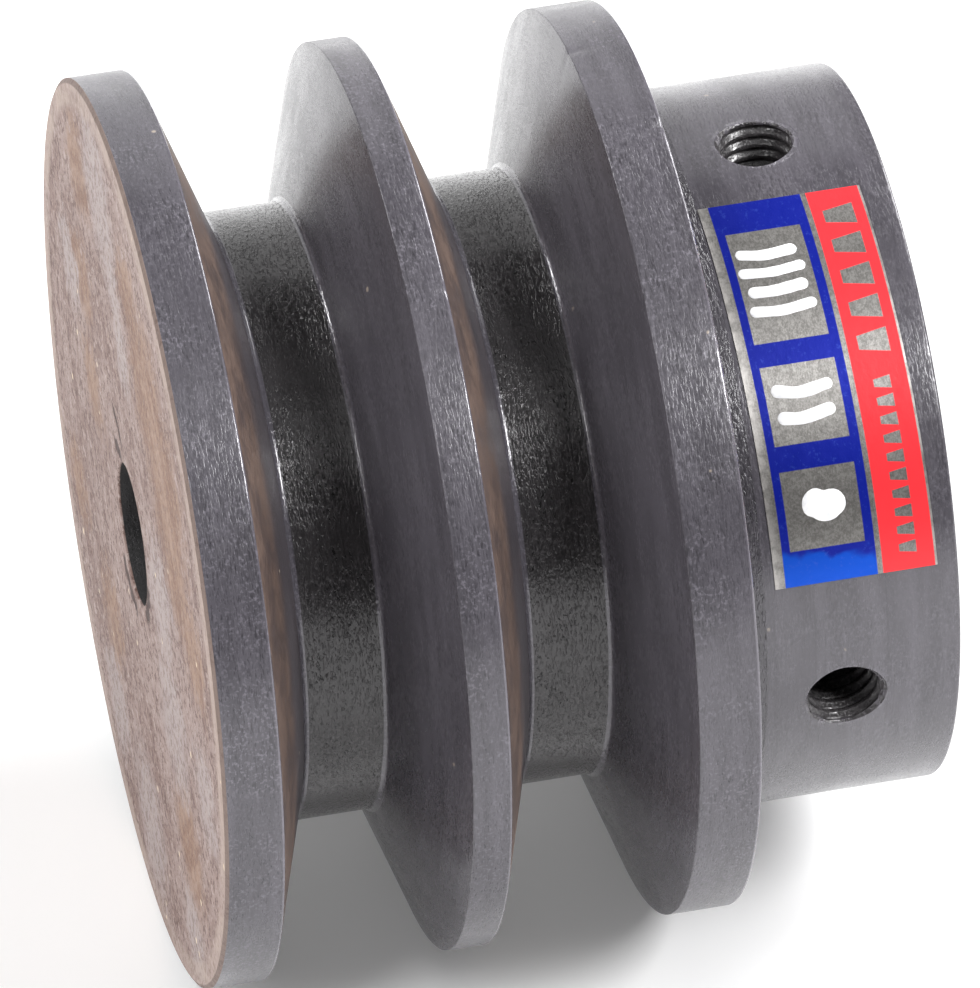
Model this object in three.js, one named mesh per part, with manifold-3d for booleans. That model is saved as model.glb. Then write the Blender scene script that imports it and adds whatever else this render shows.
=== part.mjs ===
// A two-groove V belt pulley, turned from one iron casting, with two set screws and a foil label on its hub.
// Millimetres, +Z up. The axis of rotation is Y: the web face is at -Y and the hub end at +Y.
// The origin is on the axis, halfway along the pulley. Angles go round the axis from +X towards +Z.

import * as THREE from 'three';
import { mergeVertices } from 'three/addons/utils/BufferGeometryUtils.js';
import Module from 'manifold-3d';

const wasm = await Module();
wasm.setup();

// ---- Driving dimensions ----

const RIM_RADIUS = 50.8;           // 4 inch outside diameter
const GROOVE_COUNT = 2;
const GROOVE_PITCH = 25.05;        // from one groove's middle to the next
const GROOVE_TOP_WIDTH = 20.8;     // across the mouth of a groove
const GROOVE_DEPTH = 16.85;
const FLANK_ANGLE = 18.9;          // degrees, from the groove's middle plane to one flank
const WEB_RIM_WIDTH = 6.45;        // the land beside the web face
const HUB_RIM_WIDTH = 6.9;         // the land beside the hub

const HUB_RADIUS = 40.1;
const HUB_LENGTH = 24.8;
const BORE_RADIUS = 8;

const FACE_CHAMFER = 0.5;          // radial size of the broken edge round the web face
const FACE_CHAMFER_DEPTH = 0.3;    // the same edge, along the axis
const HUB_END_CHAMFER = 0.6;

const SCREW_ANGLES = { set_screw_a: 92.4, set_screw_b: -7.4 };
const SCREW_FROM_HUB_RIM = 12;     // along the hub, from the rim's side to the middle of a hole
const SCREW_HOLE_RADIUS = 4.65;    // the plain stand-in for an M10 thread in the hub
const SCREW_RADIUS = 4.35;         // the same for the screw, 0.3 clear all round
const SCREW_LENGTH = 12;
const SCREW_TIP_RADIUS = 9.5;      // the screw's tip, measured out from the pulley's axis
const SCREW_EDGE = 0.8;            // chamfer at both ends of the screw
const CUP_RADIUS = 2.4;            // the hollow in the screw's tip
const CUP_DEPTH = 1.2;
const SOCKET_ACROSS_FLATS = 5;
const SOCKET_DEPTH = 5;

const LABEL_FIRST_ANGLE = 15.5;
const LABEL_LAST_ANGLE = 79;
const LABEL_FROM_HUB_RIM = 3.85;   // along the hub, to the label's near edge
const LABEL_WIDTH = 18.05;
const LABEL_GAP = 0.3;             // between the hub and the foil
const LABEL_THICKNESS = 0.2;

const RING_SEGMENTS = 96;
const SCREW_SEGMENTS = 24;
const LABEL_SEGMENTS = 16;

// ---- Places worked out from them ----

const RIM_SPACING_END = WEB_RIM_WIDTH + GROOVE_TOP_WIDTH + GROOVE_PITCH * (GROOVE_COUNT - 1);
const RIMS_LENGTH = RIM_SPACING_END + HUB_RIM_WIDTH;
const LENGTH = RIMS_LENGTH + HUB_LENGTH;
const WEB_FACE_Y = -LENGTH / 2;
const HUB_RIM_Y = WEB_FACE_Y + RIMS_LENGTH;
const HUB_END_Y = LENGTH / 2;
const GROOVE_BOTTOM_RADIUS = RIM_RADIUS - GROOVE_DEPTH;
const FLANK_SHIFT = GROOVE_DEPTH * Math.tan(THREE.MathUtils.degToRad(FLANK_ANGLE));
const SCREW_Y = HUB_RIM_Y + SCREW_FROM_HUB_RIM;

// ---- Solids ----

function solidFrom(geometry) {
  const plain = geometry.clone();
  plain.deleteAttribute('normal');
  plain.deleteAttribute('uv');
  const merged = mergeVertices(plain, 1e-5);
  return new wasm.Manifold(new wasm.Mesh({
    numProp: 3,
    vertProperties: new Float32Array(merged.attributes.position.array),
    triVerts: new Uint32Array(merged.index.array),
  }));
}

function geometryFrom(solid) {
  const mesh = solid.getMesh();
  const geometry = new THREE.BufferGeometry();
  geometry.setAttribute('position', new THREE.BufferAttribute(mesh.vertProperties, 3));
  geometry.setIndex(new THREE.BufferAttribute(mesh.triVerts, 1));
  geometry.computeVertexNormals();
  return geometry;
}

function lathe(profile, segments) {
  return new THREE.LatheGeometry(profile.map(([radius, y]) => new THREE.Vector2(radius, y)), segments);
}

// The direction from the axis out to a given angle, and the turn that points +Y that way.
function outward(angle) {
  const radians = THREE.MathUtils.degToRad(angle);
  return new THREE.Vector3(Math.cos(radians), 0, Math.sin(radians));
}

function turnOutward(angle) {
  return new THREE.Quaternion().setFromUnitVectors(new THREE.Vector3(0, 1, 0), outward(angle));
}

// ---- The pulley casting ----

// The four corners of one V groove, from the web side to the hub side.
function grooveProfile(index) {
  const start = WEB_FACE_Y + WEB_RIM_WIDTH + GROOVE_PITCH * index;
  const end = start + GROOVE_TOP_WIDTH;
  return [
    [RIM_RADIUS, start],
    [GROOVE_BOTTOM_RADIUS, start + FLANK_SHIFT],
    [GROOVE_BOTTOM_RADIUS, end - FLANK_SHIFT],
    [RIM_RADIUS, end],
  ];
}

function bodyProfile() {
  const grooves = Array.from({ length: GROOVE_COUNT }, (_, index) => grooveProfile(index)).flat();
  const corners = [
    [BORE_RADIUS, WEB_FACE_Y],
    [RIM_RADIUS - FACE_CHAMFER, WEB_FACE_Y],
    [RIM_RADIUS, WEB_FACE_Y + FACE_CHAMFER_DEPTH],
    ...grooves,
    [RIM_RADIUS, HUB_RIM_Y],
    [HUB_RADIUS, HUB_RIM_Y],
    [HUB_RADIUS, HUB_END_Y - HUB_END_CHAMFER],
    [HUB_RADIUS - HUB_END_CHAMFER, HUB_END_Y],
    [BORE_RADIUS, HUB_END_Y],
    [BORE_RADIUS, WEB_FACE_Y],
  ];
  return corners;
}

// A straight cutter from the pulley's axis out past the hub.
function screwHole(angle) {
  const length = HUB_RADIUS + 1;
  const cutter = new THREE.CylinderGeometry(SCREW_HOLE_RADIUS, SCREW_HOLE_RADIUS, length, SCREW_SEGMENTS);
  cutter.translate(0, length / 2, 0);
  cutter.applyQuaternion(turnOutward(angle));
  cutter.translate(0, SCREW_Y, 0);
  return solidFrom(cutter);
}

function pulleyBodyGeometry() {
  let body = solidFrom(lathe(bodyProfile(), RING_SEGMENTS));
  for (const angle of Object.values(SCREW_ANGLES)) {
    body = body.subtract(screwHole(angle));
  }
  return geometryFrom(body);
}

// ---- A socket set screw, tip down at the origin, along +Y ----

function setScrewGeometry() {
  const blank = solidFrom(lathe([
    [0, CUP_DEPTH],
    [CUP_RADIUS, 0],
    [SCREW_RADIUS - SCREW_EDGE, 0],
    [SCREW_RADIUS, SCREW_EDGE],
    [SCREW_RADIUS, SCREW_LENGTH - SCREW_EDGE],
    [SCREW_RADIUS - SCREW_EDGE, SCREW_LENGTH],
    [0, SCREW_LENGTH],
  ], SCREW_SEGMENTS));
  const cornerRadius = SOCKET_ACROSS_FLATS / Math.sqrt(3);
  const socket = new THREE.CylinderGeometry(cornerRadius, cornerRadius, SOCKET_DEPTH * 2, 6);
  socket.translate(0, SCREW_LENGTH, 0);
  return geometryFrom(blank.subtract(solidFrom(socket)));
}

// ---- The foil label: a thin band bent round part of the hub ----

function labelGeometry() {
  const innerRadius = HUB_RADIUS + LABEL_GAP;
  const outerRadius = innerRadius + LABEL_THICKNESS;
  const first = THREE.MathUtils.degToRad(LABEL_FIRST_ANGLE);
  const last = THREE.MathUtils.degToRad(LABEL_LAST_ANGLE);
  const section = new THREE.Shape();
  section.absarc(0, 0, outerRadius, first, last, false);
  section.absarc(0, 0, innerRadius, last, first, true);
  section.closePath();
  const band = new THREE.ExtrudeGeometry(section, {
    depth: LABEL_WIDTH,
    bevelEnabled: false,
    curveSegments: LABEL_SEGMENTS,
  });
  // The section is drawn in X and Y, so this quarter turn stands it up round the Y axis.
  band.rotateX(Math.PI / 2);
  return band;
}

// ---- Assembly ----

const iron = new THREE.MeshStandardMaterial({ color: 0x5d5b60, roughness: 0.45, metalness: 0.8 });
const blackSteel = new THREE.MeshStandardMaterial({ color: 0x2c2b2d, roughness: 0.5, metalness: 0.8 });
const foil = new THREE.MeshStandardMaterial({ color: 0x2438a8, roughness: 0.3, metalness: 0.5 });

function named(name, geometry, material) {
  const mesh = new THREE.Mesh(geometry, material);
  mesh.name = name;
  return mesh;
}

function setScrew(name, angle) {
  const screw = named(name, setScrewGeometry(), blackSteel.clone());
  screw.quaternion.copy(turnOutward(angle));
  screw.position.copy(outward(angle)).multiplyScalar(SCREW_TIP_RADIUS);
  screw.position.y = SCREW_Y;
  return screw;
}

function foilLabel() {
  const label = named('foil_label', labelGeometry(), foil);
  label.position.y = HUB_RIM_Y + LABEL_FROM_HUB_RIM + LABEL_WIDTH;
  return label;
}

const group = new THREE.Group();
group.add(named('pulley_body', pulleyBodyGeometry(), iron));
for (const [name, angle] of Object.entries(SCREW_ANGLES)) {
  group.add(setScrew(name, angle));
}
group.add(foilLabel());

export default group;
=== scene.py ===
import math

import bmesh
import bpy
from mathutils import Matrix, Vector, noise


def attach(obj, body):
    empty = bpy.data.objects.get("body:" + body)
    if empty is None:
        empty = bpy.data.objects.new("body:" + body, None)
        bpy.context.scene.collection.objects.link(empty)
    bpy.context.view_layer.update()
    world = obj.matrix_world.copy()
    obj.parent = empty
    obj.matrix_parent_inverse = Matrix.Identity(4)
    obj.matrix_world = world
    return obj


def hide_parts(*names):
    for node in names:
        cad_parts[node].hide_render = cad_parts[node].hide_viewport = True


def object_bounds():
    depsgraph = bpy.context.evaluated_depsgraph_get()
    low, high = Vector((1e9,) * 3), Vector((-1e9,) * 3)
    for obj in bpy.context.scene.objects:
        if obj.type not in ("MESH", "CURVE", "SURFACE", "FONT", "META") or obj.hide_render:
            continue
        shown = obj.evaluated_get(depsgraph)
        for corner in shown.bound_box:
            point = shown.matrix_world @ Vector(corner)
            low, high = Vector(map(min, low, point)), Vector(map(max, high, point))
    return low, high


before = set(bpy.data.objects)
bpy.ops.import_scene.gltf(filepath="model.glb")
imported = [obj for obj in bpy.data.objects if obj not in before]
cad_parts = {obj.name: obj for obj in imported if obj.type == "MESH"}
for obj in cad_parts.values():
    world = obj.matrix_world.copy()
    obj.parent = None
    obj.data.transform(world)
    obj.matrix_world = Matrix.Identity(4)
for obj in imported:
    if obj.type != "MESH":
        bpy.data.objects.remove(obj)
cad_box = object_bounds()

# The finished look of a two-groove V belt pulley: a turned iron casting with a rusty web face, two tapped
# holes with set screws in them, and a printed foil label on the hub.
# Metres. The pulley's axis is Y, with the web face at -Y and the hub end at +Y. Angles go round the axis
# from +X towards +Z, in degrees. Lengths "along" are measured from the web face towards the hub end.

MM = 0.001

# ---- Driving dimensions ----

RIM_RADIUS = cad_box[1].z
WEB_FACE_Y = cad_box[0].y
LENGTH = cad_box[1].y - cad_box[0].y

GROOVE_COUNT = 2
GROOVE_PITCH = 25.05 * MM
GROOVE_TOP_WIDTH = 20.8 * MM
GROOVE_DEPTH = 16.85 * MM
FLANK_ANGLE = 18.9
WEB_RIM_WIDTH = 6.45 * MM
HUB_RIM_WIDTH = 6.9 * MM
HUB_RADIUS = 40.1 * MM
BORE_RADIUS = 8 * MM

RIMS_LENGTH = WEB_RIM_WIDTH + GROOVE_TOP_WIDTH + GROOVE_PITCH * (GROOVE_COUNT - 1) + HUB_RIM_WIDTH
GROOVE_FLOOR_RADIUS = RIM_RADIUS - GROOVE_DEPTH
FLANK_SHIFT = GROOVE_DEPTH * math.tan(math.radians(FLANK_ANGLE))

# Small shapes of the turned edges, the rough stretch at the foot of the hub, which is also painted darker
# as shade from the rim beside it, and the mesh's longest step along the outline.
FACE_EDGE_RADIAL = 0.5 * MM
FACE_EDGE_AXIAL = 0.3 * MM
RIM_EDGE = 0.3 * MM
HUB_END_EDGE = 0.4 * MM
HUB_FOOT = 3.2 * MM
GROOVE_FILLET = 0.7 * MM
CORNER = 0.2 * MM
BORE_EDGE = 0.25 * MM
LONGEST_STRETCH = 2.2 * MM

# The tapped holes and their screws.
HOLE_ANGLES = {"set_screw_a": 92.4, "set_screw_b": -7.4}
HOLE_ALONG = RIMS_LENGTH + 12 * MM
THREAD_PITCH = 1.5 * MM
HOLE_CREST_RADIUS = 3.95 * MM
HOLE_ROOT_RADIUS = 4.45 * MM
HOLE_MOUTH_RADIUS = {"set_screw_a": 4.25 * MM, "set_screw_b": 4.6 * MM}
SCREW_CREST_RADIUS = 3.85 * MM
SCREW_ROOT_RADIUS = 3.35 * MM
SCREW_LENGTH = 12 * MM
SCREW_TIP_RADIUS = 9.5 * MM
SOCKET_ACROSS_FLATS = 5 * MM
SOCKET_DEPTH = 5 * MM

RING_STEPS = 480
THREAD_STEPS = 56
ROWS_PER_PITCH = 16


def along(length):
    """The Y of a place that is this far along the pulley from its web face."""
    return WEB_FACE_Y + length


def outward(angle):
    """The direction from the axis out to an angle."""
    return Vector((math.cos(math.radians(angle)), 0, math.sin(math.radians(angle))))


def smoothstep(low, high, value):
    """Rises smoothly from 0 at low to 1 at high."""
    t = min(1, max(0, (value - low) / (high - low)))
    return t * t * (3 - 2 * t)


# ---- Mesh helpers ----

def shade(mesh, sharp_angle=35):
    """Smooth shading, with edges past an angle kept sharp."""
    mesh.shade_smooth()
    mesh.set_sharp_from_angle(angle=math.radians(sharp_angle))


def new_object(name, mesh, materials, sharp_angle=35):
    """A smooth-shaded object in the scene, with sharp edges kept sharp."""
    for material in materials:
        mesh.materials.append(material)
    obj = bpy.data.objects.new(name, mesh)
    bpy.context.scene.collection.objects.link(obj)
    shade(mesh, sharp_angle)
    return obj


def grid_mesh(name, rows, closed_rows=False, caps=False):
    """Quads between rows of points. Each row is a closed ring.

    closed_rows joins the last row to the first, and caps fill the first and last rows.
    """
    mesh = bpy.data.meshes.new(name)
    count = len(rows[0])
    points = [point for row in rows for point in row]
    faces = []
    last = len(rows) if closed_rows else len(rows) - 1
    for i in range(last):
        j = (i + 1) % len(rows)
        for k in range(count):
            n = (k + 1) % count
            faces.append((i * count + k, i * count + n, j * count + n, j * count + k))
    if caps:
        faces.append(tuple(reversed(range(count))))
        faces.append(tuple(range((len(rows) - 1) * count, len(rows) * count)))
    mesh.from_pydata(points, [], faces)
    mesh.update()
    return mesh


def face_outward(mesh):
    """Turns every face of a closed mesh to point out."""
    bm = bmesh.new()
    bm.from_mesh(mesh)
    bmesh.ops.recalc_face_normals(bm, faces=bm.faces)
    bm.to_mesh(mesh)
    bm.free()


def cut(obj, cutter):
    """Cuts the cutter's shape out of obj and removes the cutter."""
    modifier = obj.modifiers.new("cut", "BOOLEAN")
    modifier.operation = "DIFFERENCE"
    modifier.solver = "EXACT"
    modifier.object = cutter
    depsgraph = bpy.context.evaluated_depsgraph_get()
    result = bpy.data.meshes.new_from_object(obj.evaluated_get(depsgraph))
    obj.modifiers.clear()
    obj.data = result
    bpy.data.objects.remove(cutter)


# ---- The casting's outline: corners from the bore, out over the web face and back along the hub ----

def groove_corners(index):
    """The corners of one groove, with a small fillet left by the tool at each side of its floor."""
    start = along(WEB_RIM_WIDTH + GROOVE_PITCH * index)
    end = start + GROOVE_TOP_WIDTH
    return [
        (RIM_RADIUS, start, RIM_EDGE, "worn_highlit_edge", "hub_flank"),
        (GROOVE_FLOOR_RADIUS, start + FLANK_SHIFT, GROOVE_FILLET, "groove_corner", "groove_floor"),
        (GROOVE_FLOOR_RADIUS, end - FLANK_SHIFT, GROOVE_FILLET, "groove_corner", "web_flank"),
        (RIM_RADIUS, end, RIM_EDGE / 2, "land", "land"),
    ]


def outline_corners():
    """(radius, y, rounding, zone of the rounded corner, zone of the stretch after it), as a closed loop."""
    hub_rim = along(RIMS_LENGTH)
    hub_end = along(LENGTH)
    corners = [
        (BORE_RADIUS, WEB_FACE_Y, BORE_EDGE, "web_face", "web_face"),
        (RIM_RADIUS - FACE_EDGE_RADIAL, WEB_FACE_Y, CORNER, "web_face", "web_face"),
        (RIM_RADIUS, WEB_FACE_Y + FACE_EDGE_AXIAL, CORNER / 2, "web_face", "land"),
    ]
    for index in range(GROOVE_COUNT):
        corners += groove_corners(index)
    corners += [
        (RIM_RADIUS, hub_rim, RIM_EDGE, "worn_highlit_edge", "rim_side"),
        (HUB_RADIUS, hub_rim, CORNER, "hub_foot", "hub_foot"),
        (HUB_RADIUS, hub_rim + HUB_FOOT, 0, "hub", "hub"),
        (HUB_RADIUS, hub_end, HUB_END_EDGE, "hub", "hub_end"),
        (BORE_RADIUS, hub_end, BORE_EDGE * 2, "bore", "bore"),
    ]
    return corners


def rounded(corners, steps=6):
    """(radius, y, zone) points of the closed outline. A corner with a rounding becomes a curve."""
    points = []
    count = len(corners)
    for i, (radius, y, rounding, corner_zone, zone) in enumerate(corners):
        if not rounding:
            points.append((radius, y, zone))
            continue
        here = Vector((radius, y))
        before = Vector(corners[i - 1][:2])
        after = Vector(corners[(i + 1) % count][:2])
        to_before = (before - here).normalized()
        to_after = (after - here).normalized()
        half = to_before.angle(to_after) / 2
        setback = min(rounding / math.tan(half), (before - here).length * 0.45, (after - here).length * 0.45)
        start = here + to_before * setback
        end = here + to_after * setback
        for step in range(steps + 1):
            t = step / steps
            point = start * (1 - t) ** 2 + here * 2 * t * (1 - t) + end * t ** 2
            points.append((point.x, point.y, corner_zone if step < steps else zone))
    return points


def subdivided(points, longest):
    """The same outline with no straight stretch longer than a given length."""
    result = []
    for i, (radius, y, zone) in enumerate(points):
        next_radius, next_y, _ = points[(i + 1) % len(points)]
        parts = max(1, math.ceil(math.hypot(next_radius - radius, next_y - y) / longest))
        for part in range(parts):
            t = part / parts
            result.append((radius + (next_radius - radius) * t, y + (next_y - y) * t, zone))
    return result


def zone_order():
    """Every zone's name once, in the order of the outline."""
    names = []
    for *_, corner_zone, zone in outline_corners():
        names += [corner_zone, zone]
    return list(dict.fromkeys(names))


def casting_mesh():
    """The turned body as rings round the Y axis, each face marked with its zone's material."""
    outline = subdivided(rounded(outline_corners()), LONGEST_STRETCH)
    zones = zone_order()
    rows = []
    for radius, y, _ in outline:
        row = []
        for step in range(RING_STEPS):
            angle = math.tau * step / RING_STEPS
            row.append(worn(radius, y, angle))
        rows.append(row)
    mesh = grid_mesh("pulley_casting", rows, closed_rows=True)
    for i, (*_, zone) in enumerate(outline):
        for k in range(RING_STEPS):
            mesh.polygons[i * RING_STEPS + k].material_index = zones.index(zone)
    face_outward(mesh)
    return mesh


# Small dents knocked into the rims' edges: (length along, angle, size). The depth is a share of the radius,
# and only points this near the rims' radius are moved.
DENT_DEPTH = 0.006
DENT_REACH = 1.2 * MM
EDGE_DENTS = [
    (WEB_RIM_WIDTH + GROOVE_PITCH + GROOVE_TOP_WIDTH, 101, 0.8 * MM),
    (RIMS_LENGTH, 83, 0.7 * MM),
    (WEB_RIM_WIDTH, 131, 0.5 * MM),
    (WEB_RIM_WIDTH + GROOVE_PITCH, 64, 0.5 * MM),
    (RIMS_LENGTH, -118, 0.9 * MM),
    (0, 200, 0.8 * MM),
]


def worn(radius, y, angle):
    """A point on the turned surface, moved in a little where an edge is dented."""
    point = Vector((radius * math.cos(angle), y, radius * math.sin(angle)))
    if radius < RIM_RADIUS - DENT_REACH:
        return point
    for length, degrees, size in EDGE_DENTS:
        centre = outward(degrees) * RIM_RADIUS + Vector((0, along(length), 0))
        near = 1 - smoothstep(0, size, (point - centre).length)
        inward = 1 - DENT_DEPTH * near
        point = point * Vector((inward, 1, inward))
    return point


# ---- Threads ----

def thread_radius(crest, root, phase):
    """Radius of a thread with sloping sides, at a phase from 0 to 1 along its pitch."""
    crest_share = 0.25
    slope_share = 0.3125
    from_middle = abs((phase % 1) - 0.5)
    rise = (from_middle - (0.5 - crest_share / 2 - slope_share)) / slope_share
    return root + (crest - root) * min(1, max(0, rise))


def threaded_rows(length, crest, root, top_radius):
    """Rings of points up the Y axis.

    A hole's thread opens to top_radius at its mouth and a screw's closes to it at both ends, as 45 degree
    cones.
    """
    rows = []
    step = THREAD_PITCH / ROWS_PER_PITCH
    for i in range(math.ceil(length / step) + 1):
        height = min(length, i * step)
        to_top = length - height
        row = []
        for k in range(THREAD_STEPS):
            angle = math.tau * k / THREAD_STEPS
            radius = thread_radius(crest, root, height / THREAD_PITCH + k / THREAD_STEPS)
            if crest < root:
                radius = max(radius, top_radius - to_top)
            else:
                radius = min(radius, top_radius + to_top, top_radius + height)
            row.append(Vector((radius * math.cos(angle), height, -radius * math.sin(angle))))
        rows.append(row)
    return rows


def place_outward(mesh, angle, start):
    """Turns a mesh built up +Y to point out of the hub at an angle, its foot this far from the axis."""
    turn = Vector((0, 1, 0)).rotation_difference(outward(angle)).to_matrix().to_4x4()
    move = Matrix.Translation(outward(angle) * start + Vector((0, along(HOLE_ALONG), 0)))
    mesh.transform(move @ turn)


def hole_cutter(angle, mouth_radius, material):
    """A threaded plug that cuts a tapped hole from the bore out through the hub."""
    foot = BORE_RADIUS * 0.55
    length = HUB_RADIUS - foot
    above = 1.5 * MM
    flare = 1.3
    rows = threaded_rows(length, HOLE_CREST_RADIUS, HOLE_ROOT_RADIUS, mouth_radius)
    rows.append([Vector((p.x * flare, p.y + above, p.z * flare)) for p in rows[-1]])
    mesh = grid_mesh("hole_cutter", rows, caps=True)
    place_outward(mesh, angle, foot)
    face_outward(mesh)
    return new_object("hole_cutter", mesh, [material])


# ---- Shader helpers ----

class Shader:
    """A short way to write one material's nodes. surface holds the inputs of its Principled shader."""

    def __init__(self, name):
        self.material = bpy.data.materials.new(name)
        self.material.use_nodes = True
        self.tree = self.material.node_tree
        self.surface = self.tree.nodes["Principled BSDF"].inputs

    def node(self, kind, **settings):
        """A new node with these settings."""
        made = self.tree.nodes.new(kind)
        for key, value in settings.items():
            setattr(made, key, value)
        return made

    def join(self, value, socket):
        """Feeds a socket from another socket, a number or a colour."""
        if isinstance(value, bpy.types.NodeSocket):
            self.tree.links.new(value, socket)
        else:
            socket.default_value = value

    def join_all(self, values, sockets):
        for value, socket in zip(values, sockets):
            self.join(value, socket)

    def math(self, operation, *values):
        made = self.node("ShaderNodeMath", operation=operation)
        self.join_all(values, made.inputs)
        return made.outputs[0]

    def add(self, *values):
        total = values[0]
        for value in values[1:]:
            total = self.math("ADD", total, value)
        return total

    def times(self, *values):
        product = values[0]
        for value in values[1:]:
            product = self.math("MULTIPLY", product, value)
        return product

    def minus(self, first, second):
        return self.math("SUBTRACT", first, second)

    def most(self, *values):
        largest = values[0]
        for value in values[1:]:
            largest = self.math("MAXIMUM", largest, value)
        return largest

    def ramp(self, value, low, high, out_low=0.0, out_high=1.0, shape="SMOOTHSTEP"):
        """Maps low..high to out_low..out_high, held flat outside."""
        made = self.node("ShaderNodeMapRange", interpolation_type=shape)
        self.join_all((value, low, high, out_low, out_high), made.inputs)
        return made.outputs[0]

    def between(self, value, low, high, soft):
        """1 where value lies between low and high, and 0 outside, with soft edges."""
        rise = self.ramp(value, low - soft, low + soft)
        fall = self.ramp(value, high - soft, high + soft, 1.0, 0.0)
        return self.times(rise, fall)

    def mix(self, factor, first, second):
        """Goes from the first colour to the second as factor goes from 0 to 1."""
        made = self.node("ShaderNodeMix", data_type="RGBA")
        self.join_all((factor, first, second), (made.inputs["Factor"], made.inputs[6], made.inputs[7]))
        return made.outputs[2]

    def combine(self, x, y, z):
        made = self.node("ShaderNodeCombineXYZ")
        self.join_all((x, y, z), made.inputs)
        return made.outputs[0]

    def noise(self, vector, scale, detail=3.0, roughness=0.55, w=None):
        """Noise from 0 to 1, at a place in three dimensions, or in four with w."""
        made = self.node("ShaderNodeTexNoise", noise_dimensions="3D" if w is None else "4D")
        self.join(vector, made.inputs["Vector"])
        if w is not None:
            self.join(w, made.inputs["W"])
        self.join(scale, made.inputs["Scale"])
        self.join(detail, made.inputs["Detail"])
        self.join(roughness, made.inputs["Roughness"])
        return made.outputs["Fac"]

    def spots(self, vector, scale, size):
        """Small round spots, scattered one to a cell."""
        made = self.node("ShaderNodeTexVoronoi", feature="F1")
        self.join(vector, made.inputs["Vector"])
        self.join(scale, made.inputs["Scale"])
        return self.ramp(made.outputs["Distance"], size * 0.7, size, 1.0, 0.0)

    def near(self, vector, point, reach, soft):
        """1 within reach of a point, fading to 0 over soft."""
        made = self.node("ShaderNodeVectorMath", operation="DISTANCE")
        self.join_all((vector, point), made.inputs)
        return self.ramp(made.outputs["Value"], reach - soft / 2, reach + soft / 2, 1.0, 0.0)

    def place(self):
        """Object coordinates, and the radius, direction and angle round the axis that they give."""
        vector = self.node("ShaderNodeTexCoord").outputs["Object"]
        split = self.node("ShaderNodeSeparateXYZ")
        self.join(vector, split.inputs[0])
        x, y, z = split.outputs
        radius = self.math("SQRT", self.add(self.times(x, x), self.times(z, z)))
        return {
            "vector": vector,
            "y": y,
            "radius": radius,
            "cos": self.math("DIVIDE", x, radius),
            "sin": self.math("DIVIDE", z, radius),
            "angle": self.math("DEGREES", self.math("ARCTAN2", z, x)),
        }

    def turning(self, at, spacing, arc, detail=2.0, roughness=0.6):
        """Noise in long thin arcs round the axis, as a lathe tool leaves: spacing apart, arc radians long."""
        across = 1 / spacing
        round_axis = 1 / arc
        vector = self.combine(
            self.times(at["radius"], across), self.times(at["y"], across), self.times(at["cos"], round_axis))
        return self.noise(vector, 1.0, detail, roughness, w=self.times(at["sin"], round_axis))

    def finish(self, colour, roughness, height, metallic=0.0, specular=0.5):
        """Feeds the surface. height is in metres, standing out. Returns the material."""
        bump = self.node("ShaderNodeBump")
        bump.inputs["Distance"].default_value = 1.0
        self.join(height, bump.inputs["Height"])
        self.join(colour, self.surface["Base Color"])
        self.join(roughness, self.surface["Roughness"])
        self.join(metallic, self.surface["Metallic"])
        self.join(bump.outputs[0], self.surface["Normal"])
        self.surface["Specular IOR Level"].default_value = specular
        return self.material


# ---- Materials of the casting ----

# Tints of the iron, as shares of red, green and blue, and the grey of bare metal at a burr.
BLUISH = (1.0, 0.93, 1.09)
NEUTRAL = (1.0, 0.93, 0.98)
PALE_METAL = 0.2


def grey(value, tint):
    """A linear grey of the iron."""
    return (*(value * channel for channel in tint), 1)


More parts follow.
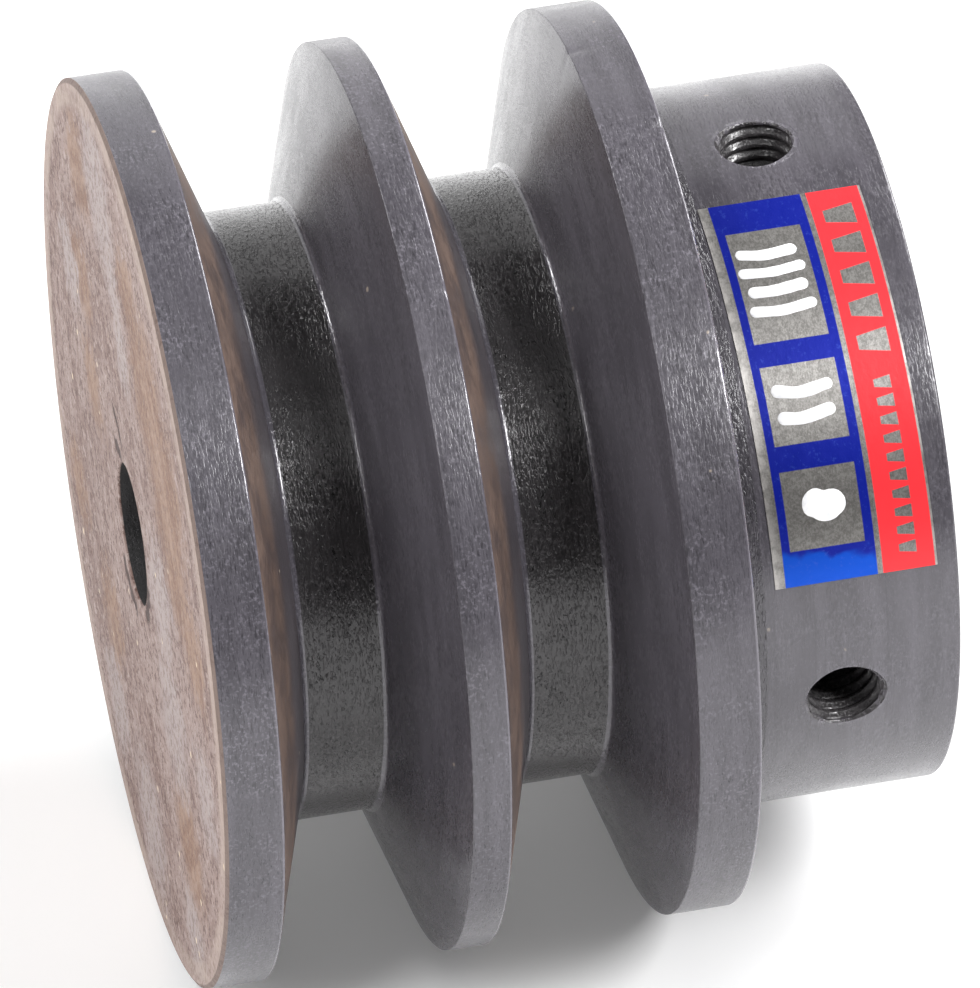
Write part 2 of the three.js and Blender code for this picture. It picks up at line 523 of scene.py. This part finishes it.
def turned_iron(name, shade=0.084, tint=BLUISH, roughness=0.25, specular=0.8, lines=0.01, flecks=0.025,
                mottle=0.6, rust=0.0, pits=0.0, dust=0.0, burrs=0.0):
    """Dark oiled iron, turned on a lathe.

    lines and flecks are bump heights in mm, of the tool's rings and of short flecks that glitter. mottle is
    how far the flecks differ in shade. rust, pits, dust and burrs are amounts from 0 to 1: brown rust, which
    gathers towards the rims, open casting pores, pale stuck grains, and burrs round the mouths of the tapped
    holes.
    """
    s = Shader(name)
    at = s.place()
    fleck = s.turning(at, 0.22 * MM, 0.022)
    ring = s.turning(at, 0.4 * MM, 0.9)
    band = s.turning(at, 2.0 * MM, 0.35, detail=3.0)
    cloud = s.noise(at["vector"], 150, 4.0, 0.6)
    grain = s.noise(at["vector"], 2600, 2.0, 0.6)

    colour = s.mix(s.ramp(band, 0.35, 0.7), grey(shade * 0.84, tint), grey(shade * 1.16, tint))
    colour = s.mix(s.ramp(ring, 0.55, 0.75, 0.0, 0.4), colour, grey(shade * 0.5, tint))
    patchy = s.times(s.ramp(cloud, 0.4, 0.6, 0.35, 1.0), mottle)
    colour = s.mix(s.times(s.ramp(grain, 0.5, 0.66), patchy), colour, grey(shade * 2.2, tint))
    colour = s.mix(s.times(s.ramp(fleck, 0.5, 0.34), patchy), colour, grey(shade * 0.35, tint))
    rough = s.ramp(s.add(cloud, fleck), 0.6, 1.4, roughness - 0.06, roughness + 0.08)
    raised = s.ramp(fleck, 0.46, 0.7)
    height = s.add(s.times(raised, flecks * MM), s.times(ring, lines * MM), s.times(grain, flecks * 0.6 * MM))
    if rust:
        towards_rim = s.ramp(at["radius"], 38.5 * MM, 43.5 * MM, 0.15, 1.0)
        soil = s.times(s.ramp(cloud, 0.3, 0.6, 0.65, 1.0), towards_rim, rust)
        brown = s.mix(s.ramp(s.add(fleck, cloud), 0.8, 1.2), (0.08, 0.051, 0.041, 1), (0.15, 0.1, 0.08, 1))
        colour = s.mix(soil, colour, brown)
        rough = s.add(rough, s.times(soil, 0.15))
    if pits:
        cluster = s.ramp(s.noise(at["vector"], 190, 3.0, 0.65), 0.42, 0.6)
        pit = s.times(s.ramp(s.turning(at, 0.3 * MM, 0.018), 0.57, 0.64), cluster, pits)
        colour = s.mix(s.times(pit, 0.85), colour, grey(shade * 0.15, NEUTRAL))
        height = s.minus(height, s.times(pit, 0.04 * MM))
    if dust:
        few = s.ramp(s.noise(at["vector"], 330, 1.0), 0.6, 0.63)
        colour = s.mix(s.times(s.spots(at["vector"], 210, 0.075), few, dust), colour, (0.5, 0.42, 0.34, 1))
    if burrs:
        middle = Vector((0, along(HOLE_ALONG), 0))
        mouths = [outward(angle) * HUB_RADIUS + middle for angle in HOLE_ANGLES.values()]
        ragged = s.ramp(s.noise(at["vector"], 700, 3.0, 0.7), 0.47, 0.56)
        by_mouth = s.most(*(s.near(at["vector"], mouth, 4.65 * MM, 0.4 * MM) for mouth in mouths))
        burr = s.times(by_mouth, s.ramp(at["radius"], 39.3 * MM, 39.6 * MM), ragged, burrs)
        colour = s.mix(s.times(burr, 0.4), colour, grey(PALE_METAL, BLUISH))
        height = s.add(height, s.times(burr, 0.05 * MM))
    return s.finish(colour, rough, height, metallic=0.12, specular=specular)


# Marks on the web face. Patches are (angle, radius, size) with lengths in mm, and scratches are
# (first angle, its radius, last angle, its radius).
BROWN_PATCHES = [
    (84, 37, 5), (66, 33, 9), (46, 33, 10), (30, 31, 7), (18, 38, 6), (128, 41, 6),
    (146, 30, 5), (168, 22, 5), (-122, 29, 6), (-38, 36, 7), (-150, 40, 5),
]
PALE_PATCHES = [
    (93, 24, 4.5), (108, 40, 8), (100, 31, 4), (12, 17, 7), (-25, 24, 8),
    (-85, 39, 8), (-112, 40, 6), (160, 36, 5), (-8, 40, 6), (-50, 45, 5),
]
FACE_SCRATCHES = [
    (114, 10.2, 129, 14.4),
    (124, 8.6, 144, 10.6),
    (-128, 10.4, -84, 10.2),
    (-44, 9.4, -4, 8.8),
]


def polar_patches(s, vector, patches):
    """How far inside any of the patches a point is, from 0 to 1."""
    inside = []
    for angle, radius, size in patches:
        centre = outward(angle) * radius * MM + Vector((0, WEB_FACE_Y, 0))
        inside.append(s.near(vector, centre, size * MM, size * 0.9 * MM))
    return s.most(*inside)


def face_scratches(s, at, wobble):
    """Thin dark marks round the bore, each running from one angle and radius to another."""
    marks = []
    for first, first_radius, last, last_radius in FACE_SCRATCHES:
        middle = s.ramp(at["angle"], first, last, first_radius * MM, last_radius * MM, shape="LINEAR")
        off = s.math("ABSOLUTE", s.add(s.minus(at["radius"], middle), wobble))
        inside = s.between(at["angle"], first, last, 3)
        marks.append(s.times(s.ramp(off, 0.6 * MM, 1.05 * MM, 1.0, 0.0), inside))
    return s.most(*marks)


def rusty_face():
    """The web face: machined iron under a brown bloom of rust, rubbed pale in places and speckled."""
    s = Shader("web_face_rust_bloom")
    at = s.place()
    band = s.turning(at, 2.6 * MM, 0.45, detail=4.0)
    cloud = s.noise(at["vector"], 110, 5.0, 0.65)
    mottle = s.noise(at["vector"], 620, 4.0, 0.72)
    speck = s.noise(at["vector"], 1250, 3.0, 0.7)
    wander = s.noise(at["vector"], 240, 3.0, 0.6)
    shift = s.combine(s.times(s.add(wander, -0.5), 14 * MM), 0.0, s.times(s.add(mottle, -0.5), 14 * MM))
    blurred = s.node("ShaderNodeVectorMath", operation="ADD")
    s.join_all((at["vector"], shift), blurred.inputs)

    brown = polar_patches(s, blurred.outputs[0], BROWN_PATCHES)
    pale = polar_patches(s, blurred.outputs[0], PALE_PATCHES)
    colour = s.mix(s.ramp(s.add(band, cloud), 0.86, 1.16), (0.34, 0.25, 0.225, 1), (0.23, 0.148, 0.127, 1))
    streak = s.ramp(s.add(band, mottle), 0.85, 1.15)
    streaked = s.mix(streak, (0.35, 0.225, 0.16, 1), (0.225, 0.12, 0.075, 1))
    colour = s.mix(s.times(brown, 0.9), colour, streaked)
    colour = s.mix(s.times(pale, 0.8), colour, (0.41, 0.345, 0.335, 1))
    speckled = s.minus(1.0, s.most(s.times(brown, 0.55), s.times(pale, 0.35)))
    colour = s.mix(s.times(s.ramp(speck, 0.5, 0.59), speckled, 0.8), colour, (0.1, 0.046, 0.034, 1))
    colour = s.mix(s.times(s.ramp(mottle, 0.52, 0.62), speckled, 0.7), colour, (0.5, 0.405, 0.375, 1))

    rubbed_edge = s.times(s.ramp(at["radius"], 47.0 * MM, 48.5 * MM), s.ramp(cloud, 0.4, 0.55, 0.3, 0.65))
    colour = s.mix(rubbed_edge, colour, (0.5, 0.4, 0.345, 1))
    edge_line = s.ramp(at["radius"], 50.15 * MM, 50.35 * MM)
    colour = s.mix(s.times(edge_line, 0.6), colour, (0.1, 0.065, 0.055, 1))
    few = s.ramp(s.noise(at["vector"], 170, 2.0), 0.55, 0.6)
    colour = s.mix(s.times(s.spots(at["vector"], 260, 0.13), few), colour, (0.75, 0.63, 0.47, 1))
    scratch = face_scratches(s, at, s.times(s.add(mottle, -0.5), 2.6 * MM))
    colour = s.mix(s.times(scratch, 0.95), colour, (0.05, 0.022, 0.018, 1))

    height = s.add(s.times(speck, 0.12 * MM), s.times(mottle, 0.16 * MM), s.times(scratch, -0.15 * MM))
    return s.finish(colour, s.ramp(mottle, 0.3, 0.7, 0.55, 0.75), height, metallic=0.05, specular=0.35)


def casting_materials():
    """One material for each zone of the outline, in the outline's order, and the threads' after them."""
    by_zone = {
        "web_face": rusty_face(),
        "land": turned_iron(
            "turned_rim_land", roughness=0.3, specular=0.65, flecks=0.014, mottle=0.7, dust=0.6),
        # The rounded rim edges are painted lighter and made glossier: rubbed metal, and partly a painted
        # highlight along the edges.
        "worn_highlit_edge": turned_iron(
            "worn_highlit_edge", shade=0.13, roughness=0.18, flecks=0.008, mottle=0.3),
        "hub_flank": turned_iron(
            "soiled_flank", shade=0.07, roughness=0.34, flecks=0.015, rust=1.0, dust=1.0),
        # The groove fillets are smoother, and painted lighter than the floor as a painted highlight along
        # them.
        "groove_corner": turned_iron(
            "groove_corner", shade=0.1, roughness=0.12, lines=0.0, flecks=0.02, mottle=0.5),
        "groove_floor": turned_iron(
            "pitted_groove_floor", shade=0.045, tint=NEUTRAL, roughness=0.16, specular=0.55, flecks=0.045,
            pits=1.0),
        "web_flank": turned_iron(
            "smooth_flank", shade=0.083, specular=0.65, lines=0.006, flecks=0.006, mottle=0.3, dust=0.7),
        "rim_side": turned_iron(
            "rim_side", rust=0.3),
        # The foot of the hub beside the rim is painted darker, as painted shade from the rim, and is rougher
        # and pitted.
        "hub_foot": turned_iron(
            "hub_foot", shade=0.06, lines=0.04, flecks=0.035, pits=0.6),
        "hub": turned_iron(
            "turned_hub", flecks=0.009, mottle=0.4, dust=0.4, burrs=1.0),
        "hub_end": turned_iron(
            "hub_end_face", shade=0.14, roughness=0.4, lines=0.03, rust=0.25),
        # The bore is painted near black: painted shade deep inside the hole.
        "bore": turned_iron(
            "drilled_bore", shade=0.02, tint=NEUTRAL, roughness=0.5, lines=0.04),
    }
    materials = [by_zone[zone] for zone in zone_order()]
    materials.append(turned_iron(
        "tapped_thread", shade=0.06, tint=NEUTRAL, roughness=0.2, flecks=0.03, burrs=1.0))
    return materials


def make_casting():
    """The turned body with its two tapped holes."""
    materials = casting_materials()
    casting = new_object("pulley_casting", casting_mesh(), materials)
    for screw, angle in HOLE_ANGLES.items():
        cut(casting, hole_cutter(angle, HOLE_MOUTH_RADIUS[screw], materials[-1]))
    shade(casting.data)
    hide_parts("pulley_body")
    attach(casting, "pulley")


# ---- Set screws ----

def black_steel():
    """Black oxide steel, rubbed grey in places."""
    s = Shader("black_oxide_steel")
    at = s.place()
    wear = s.noise(at["vector"], 900, 3.0, 0.6)
    colour = s.mix(s.ramp(wear, 0.45, 0.7), (0.02, 0.02, 0.022, 1), (0.09, 0.085, 0.085, 1))
    height = s.times(s.noise(at["vector"], 4000, 2.0), 0.004 * MM)
    return s.finish(colour, s.ramp(wear, 0.3, 0.7, 0.32, 0.5), height, metallic=0.9)


def hex_socket_cutter(material):
    """A hexagonal prism that cuts the screw's socket."""
    corner = SOCKET_ACROSS_FLATS / math.sqrt(3)
    angles = [math.tau * k / 6 for k in range(6)]
    rows = []
    for height in (SCREW_LENGTH - SOCKET_DEPTH, SCREW_LENGTH + MM):
        rows.append([Vector((corner * math.cos(a), height, -corner * math.sin(a))) for a in angles])
    mesh = grid_mesh("socket_cutter", rows, caps=True)
    face_outward(mesh)
    return new_object("socket_cutter", mesh, [material])


def make_set_screw(body, angle, material):
    """A threaded screw with a flat tip. Its thread clears the hole's, so that it can slide to any depth."""
    rows = threaded_rows(SCREW_LENGTH, SCREW_CREST_RADIUS, SCREW_ROOT_RADIUS, SCREW_ROOT_RADIUS)
    mesh = grid_mesh("set_screw", rows, caps=True)
    face_outward(mesh)
    screw = new_object(body + "_threaded", mesh, [material])
    cut(screw, hex_socket_cutter(material))
    place_outward(screw.data, angle, SCREW_TIP_RADIUS)
    shade(screw.data)
    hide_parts(body)
    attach(screw, body)


# ---- The foil label ----

# Lengths on the label run along the hub from the rim's side. It was stuck on a little askew.
LABEL_NEAR = 3.29 * MM
LABEL_FAR = 21.35 * MM
LABEL_FIRST_ANGLE = 15.3
LABEL_LAST_ANGLE = 78.85
LABEL_SKEW = 1.1 * MM
LABEL_LIFT = 0.03 * MM
LABEL_THICKNESS = 0.09 * MM
BLUE_PANEL = (4.43 * MM, 14.7 * MM)
RED_STRIP = (15.3 * MM, 21.1 * MM)
WINDOW = (5.35 * MM, 13.65 * MM)
WINDOW_ANGLES = [(53.9, 73.05), (37.75, 50.15), (21.1, 33.75)]
PRINT_SOFT_LENGTH = 0.05 * MM
PRINT_SOFT_ANGLE = 0.08
PAINT_THICKNESS = 0.07 * MM
PAINT_EDGE = 0.005 * MM
PAINT_SINK = 0.02 * MM
PAINT_BASE = HUB_RADIUS + LABEL_LIFT + LABEL_THICKNESS


def label_point(length, angle, radius):
    """A point on the label's cylinder, from a length along the label and an angle."""
    skew = LABEL_SKEW * (LABEL_LAST_ANGLE - angle) / (LABEL_LAST_ANGLE - LABEL_FIRST_ANGLE)
    return outward(angle) * radius + Vector((0, along(RIMS_LENGTH + length + skew), 0))


def printed_foil():
    """Silver foil printed in blue, with three clear windows, and in red, with rows of belt sections."""
    s = Shader("printed_foil")
    at = s.place()
    angle = at["angle"]
    tilt = LABEL_SKEW / (LABEL_LAST_ANGLE - LABEL_FIRST_ANGLE)
    skew = s.times(s.minus(LABEL_LAST_ANGLE, angle), tilt)
    length = s.minus(s.minus(at["y"], along(RIMS_LENGTH)), skew)

    rows = [s.between(angle, low, high, PRINT_SOFT_ANGLE) for low, high in WINDOW_ANGLES]
    window = s.times(s.most(*rows), s.between(length, *WINDOW, PRINT_SOFT_LENGTH))
    blue = s.times(s.between(length, *BLUE_PANEL, PRINT_SOFT_LENGTH), s.minus(1.0, window))
    clear = belt_sections(s, length, angle)
    red = s.times(s.between(length, *RED_STRIP, PRINT_SOFT_LENGTH), s.minus(1.0, clear))
    inked = s.most(blue, red)

    crinkle = s.noise(at["vector"], 700, 4.0, 0.6)
    scuff = s.noise(at["vector"], 1500, 3.0, 0.8)
    brushed = s.noise(s.combine(s.times(at["y"], 5000), s.times(angle, 2.2), 0.0), 1.0, 3.0, 0.7)
    silver = s.mix(s.ramp(s.add(brushed, scuff), 0.8, 1.2), (0.235, 0.226, 0.215, 1), (0.38, 0.367, 0.352, 1))
    # Along both edges of the label the silver is painted pale: rubbed foil, and partly a painted highlight
    # along the edges.
    near_edge = s.ramp(length, LABEL_NEAR, BLUE_PANEL[0], 1.0, 0.0)
    far_edge = s.ramp(length, RED_STRIP[1] - PRINT_SOFT_LENGTH, RED_STRIP[1] + PRINT_SOFT_LENGTH)
    rubbed_and_highlit_margin = s.times(s.most(near_edge, far_edge), s.ramp(crinkle, 0.4, 0.55, 0.3, 1.0), 0.7)
    silver = s.mix(rubbed_and_highlit_margin, silver, (0.65, 0.62, 0.6, 1))
    # Below about 20 degrees the blue is painted lighter: a painted reflection on the foil, with a wavy edge.
    sheen_edge_angle = s.add(angle, s.times(s.add(s.noise(at["vector"], 260, 2.0), -0.5), 9.0))
    blue_ink_and_sheen = s.mix(s.ramp(sheen_edge_angle, 19.0, 20.5), (0.001, 0.08, 0.6, 1), (0.005, 0.015, 0.32, 1))
    blue_ink_and_sheen = s.mix(s.ramp(scuff, 0.55, 0.7, 0.0, 0.3), blue_ink_and_sheen, (0.06, 0.12, 0.6, 1))
    colour = s.mix(blue, silver, blue_ink_and_sheen)
    colour = s.mix(red, colour, (0.88, 0.035, 0.045, 1))
    # The sheet's back and the lower part of its cut edge are white.
    paper = s.ramp(at["radius"], PAINT_BASE - 0.03 * MM, PAINT_BASE - 0.01 * MM, 1.0, 0.0)
    colour = s.mix(paper, colour, (0.85, 0.85, 0.85, 1))
    rough = s.add(s.ramp(inked, 0.0, 1.0, 0.34, 0.28), s.times(crinkle, 0.1))
    height = s.times(s.add(crinkle, s.times(brushed, 0.3)), 0.03 * MM)
    covered = s.most(s.times(blue, 0.6), red, paper)
    return s.finish(colour, rough, height, metallic=s.ramp(covered, 0.0, 1.0, 0.95, 0.15), specular=0.35)


def belt_sections(s, length, angle):
    """Two rows of clear trapezoids, the section of a V belt, in the red strip: large, then small."""
    rows = [(49.0, 76.5, 5.5, 16.5 * MM, 19.9 * MM), (17.6, 46.6, 2.9, 17.3 * MM, 19.2 * MM)]
    marks = []
    for low, high, pitch, near, far in rows:
        step = s.math("FRACT", s.times(s.minus(angle, low), 1 / pitch))
        off_middle = s.math("ABSOLUTE", s.add(step, -0.5))
        half_width = s.ramp(length, near, far, 0.2, 0.36, shape="LINEAR")
        inside = s.ramp(s.minus(half_width, off_middle), -0.015, 0.015)
        across = s.between(length, near, far, PRINT_SOFT_LENGTH)
        marks.append(s.times(inside, across, s.between(angle, low, high, PRINT_SOFT_ANGLE)))
    return s.most(*marks)


def make_label():
    """The foil: a thin closed sheet bent round the hub."""
    angle_steps = 96
    length_steps = 24
    low = HUB_RADIUS + LABEL_LIFT
    lengths = [LABEL_NEAR + (LABEL_FAR - LABEL_NEAR) * k / length_steps for k in range(length_steps + 1)]
    rows = []
    for i in range(angle_steps + 1):
        angle = LABEL_FIRST_ANGLE + (LABEL_LAST_ANGLE - LABEL_FIRST_ANGLE) * i / angle_steps
        outer = [label_point(length, angle, low + LABEL_THICKNESS) for length in lengths]
        inner = [label_point(length, angle, low) for length in reversed(lengths)]
        rows.append(outer + inner)
    mesh = grid_mesh("foil_label_sheet", rows, caps=True)
    face_outward(mesh)
    label = new_object("foil_label_sheet", mesh, [printed_foil()])
    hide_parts("foil_label")
    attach(label, "pulley")


# Hand-painted tally marks in the windows: four strokes, two strokes and one daub.
# Each is a name, a width in mm and the points of its middle line as (length in mm, angle).
PAINT_STROKES = [
    ("stroke_1", 1.3, [(6.4, 69.0), (8.8, 68.5), (11.9, 68.9)]),
    ("stroke_2", 1.2, [(6.1, 65.7), (9.2, 65.4), (12.4, 65.9)]),
    ("stroke_3", 1.35, [(6.7, 62.3), (9.1, 62.2), (12.1, 62.7)]),
    ("stroke_4", 1.2, [(6.3, 59.1), (9.3, 58.8), (12.6, 59.4)]),
    ("stroke_5", 1.35, [(6.7, 46.2), (9.2, 45.6), (12.2, 46.3)]),
    ("stroke_6", 1.4, [(6.9, 41.9), (9.0, 41.6), (12.0, 42.4)]),
    ("daub", 3.2, [(8.9, 28.2), (9.8, 27.6), (10.5, 27.9)]),
]


STROKE_END_STEPS = 5
STROKE_TOP_STEPS = 8


def smooth_line(points, steps=8):
    """A Catmull-Rom curve through the points."""
    padded = [points[0] * 2 - points[1], *points, points[-1] * 2 - points[-2]]
    line = []
    for a, b, c, d in zip(padded, padded[1:], padded[2:], padded[3:]):
        for step in range(steps):
            t = step / steps
            line.append(0.5 * (2 * b + (c - a) * t + (2 * a - 5 * b + 4 * c - d) * t ** 2
                               + (3 * b - a - 3 * c + d) * t ** 3))
    line.append(points[-1])
    return line


def make_stroke(name, width, points, material):
    """A low mound of paint along a line on the label, with round ends."""
    arc = math.radians(1) * (HUB_RADIUS / MM)
    line = smooth_line([Vector((length, angle * arc)) for length, angle in points])
    first = line[0]
    last = line[-1]
    round_end = width / 2
    start_way = (line[1] - first).normalized()
    end_way = (last - line[-2]).normalized()
    turns = [math.pi / 2 * i / STROKE_END_STEPS for i in range(STROKE_END_STEPS + 1)]
    caps_before = [first - start_way * round_end * math.cos(turn) for turn in turns[:-1]]
    caps_after = [last + end_way * round_end * math.sin(turn) for turn in turns[1:]]
    path = caps_before + line + caps_after
    rows = []
    for i, here in enumerate(path):
        way = (path[min(i + 1, len(path) - 1)] - path[max(i - 1, 0)]).normalized()
        side = Vector((-way.y, way.x))
        from_start = max(0, (first - here).dot(start_way)) / round_end
        past_end = max(0, (here - last).dot(end_way)) / round_end
        fullness = math.sqrt(max(0.004, 1 - max(from_start, past_end) ** 2))
        wobble = 1 + 0.12 * noise.noise(Vector((here.x * 0.8, here.y * 0.8, 3.1)))
        half = round_end * fullness * wobble
        ring = []
        for k in range(STROKE_TOP_STEPS + 1):
            offset = -1 + 2 * k / STROKE_TOP_STEPS
            height = PAINT_THICKNESS * fullness * (1 - offset ** 4) + PAINT_EDGE
            spot = here + side * half * offset
            ring.append(label_point(spot.x * MM, spot.y / arc, PAINT_BASE + height))
        for offset in (1, 0, -1):
            spot = here + side * half * offset
            ring.append(label_point(spot.x * MM, spot.y / arc, PAINT_BASE - PAINT_SINK))
        rows.append(ring)
    mesh = grid_mesh(name, rows, caps=True)
    face_outward(mesh)
    stroke = new_object("painted_" + name, mesh, [material], sharp_angle=60)
    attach(stroke, "pulley")


def white_paint():
    """White paint, thinner and greyer in places."""
    s = Shader("white_brush_paint")
    at = s.place()
    thin = s.noise(at["vector"], 900, 3.0, 0.6)
    colour = s.mix(s.ramp(thin, 0.4, 0.75), (0.93, 0.93, 0.94, 1), (0.78, 0.79, 0.82, 1))
    return s.finish(colour, 0.4, s.times(thin, 0.01 * MM))


# ---- Stage, light and camera ----

# All the light comes from square soft lights and from the floor, which glows a little.
FLOOR_HALF = 5.0
FLOOR_GLOW = 0.15
# Name, azimuth round Z from +X towards +Y, elevation, size in metres and power in watts.
SOFT_LIGHTS = [
    ("right", 51, 43, 0.4, 15.5),
    ("right_back", 120, 40, 0.6, 15.5),
    ("left", -131, 49, 0.3, 8),
    ("left_front", -60, 38, 0.6, 8),
    ("back", 180, 35, 0.6, 1.5),
    ("back_low", 180, 8, 0.6, 1.5),
    ("top", 0, 88, 0.6, 0.3),
    ("front_top", -11, 65, 0.6, 0.9),
]
LIGHT_DISTANCE = 1.3


def pale_floor():
    """Plain off-white, a little uneven."""
    s = Shader("pale_floor")
    at = s.place()
    cloud = s.noise(at["vector"], 3.0, 3.0)
    s.surface["Emission Color"].default_value = (1, 1, 1, 1)
    s.surface["Emission Strength"].default_value = FLOOR_GLOW
    return s.finish(s.mix(s.ramp(cloud, 0.3, 0.7), (0.86, 0.86, 0.865, 1), (0.9, 0.9, 0.9, 1)), 0.85, 0.0)


def make_floor():
    """A square floor that the pulley stands on."""
    mesh = bpy.data.meshes.new("floor")
    z = cad_box[0].z
    corners = [(x * FLOOR_HALF, y * FLOOR_HALF, z) for x, y in ((-1, -1), (1, -1), (1, 1), (-1, 1))]
    mesh.from_pydata(corners, [], [(0, 1, 2, 3)])
    floor = new_object("floor", mesh, [pale_floor()])


def soft_light(name, azimuth, elevation, size, power):
    """A square light aimed at the pulley."""
    data = bpy.data.lights.new(name, "AREA")
    data.size = size
    data.energy = power
    light = bpy.data.objects.new(name, data)
    bpy.context.scene.collection.objects.link(light)
    azimuth = math.radians(azimuth)
    elevation = math.radians(elevation)
    level = math.cos(elevation)
    way = Vector((math.cos(azimuth) * level, math.sin(azimuth) * level, math.sin(elevation)))
    light.location = way * LIGHT_DISTANCE
    light.rotation_mode = "QUATERNION"
    light.rotation_quaternion = way.to_track_quat("Z", "Y")


def light_scene():
    """The soft lights, in a room that gives no light of its own."""
    world = bpy.data.worlds.new("studio")
    bpy.context.scene.world = world
    world.use_nodes = True
    world.node_tree.nodes["Background"].inputs["Strength"].default_value = 0
    for light in SOFT_LIGHTS:
        soft_light(*light)
    bpy.context.scene.view_settings.view_transform = "Standard"


# The camera: where it stands from the pulley's middle, and the way it looks, in degrees. Yaw turns its view
# from -X towards +Y, and pitch tips it down. The lens and the sensor are in mm.
CAMERA_PLACE = Vector((1.0350, -0.2143, 0.8617))
CAMERA_YAW = 11.61
CAMERA_PITCH = 39.27
CAMERA_ROLL = -1.47
CAMERA_LENS = 448.8
CAMERA_SENSOR = 36


def make_camera():
    """A long lens, level but for a small roll."""
    data = bpy.data.cameras.new("camera")
    data.sensor_width = CAMERA_SENSOR
    data.lens = CAMERA_LENS
    data.clip_start = 0.1
    data.clip_end = 20
    camera = bpy.data.objects.new("camera", data)
    bpy.context.scene.collection.objects.link(camera)
    yaw = math.radians(CAMERA_YAW)
    pitch = math.radians(CAMERA_PITCH)
    level = math.cos(pitch)
    forward = Vector((-level * math.cos(yaw), level * math.sin(yaw), -math.sin(pitch)))
    right = forward.cross(Vector((0, 0, 1))).normalized()
    turn = Matrix((right, right.cross(forward), -forward)).transposed()
    roll = Matrix.Rotation(math.radians(CAMERA_ROLL), 3, "Z")
    camera.matrix_world = Matrix.Translation(CAMERA_PLACE) @ (turn @ roll).to_4x4()
    bpy.context.scene.camera = camera


make_camera()
light_scene()
make_floor()
make_casting()
screw_material = black_steel()
for body, angle in HOLE_ANGLES.items():
    make_set_screw(body, angle, screw_material)
make_label()
paint = white_paint()
for name, width, points in PAINT_STROKES:
    make_stroke(name, width, points, paint)
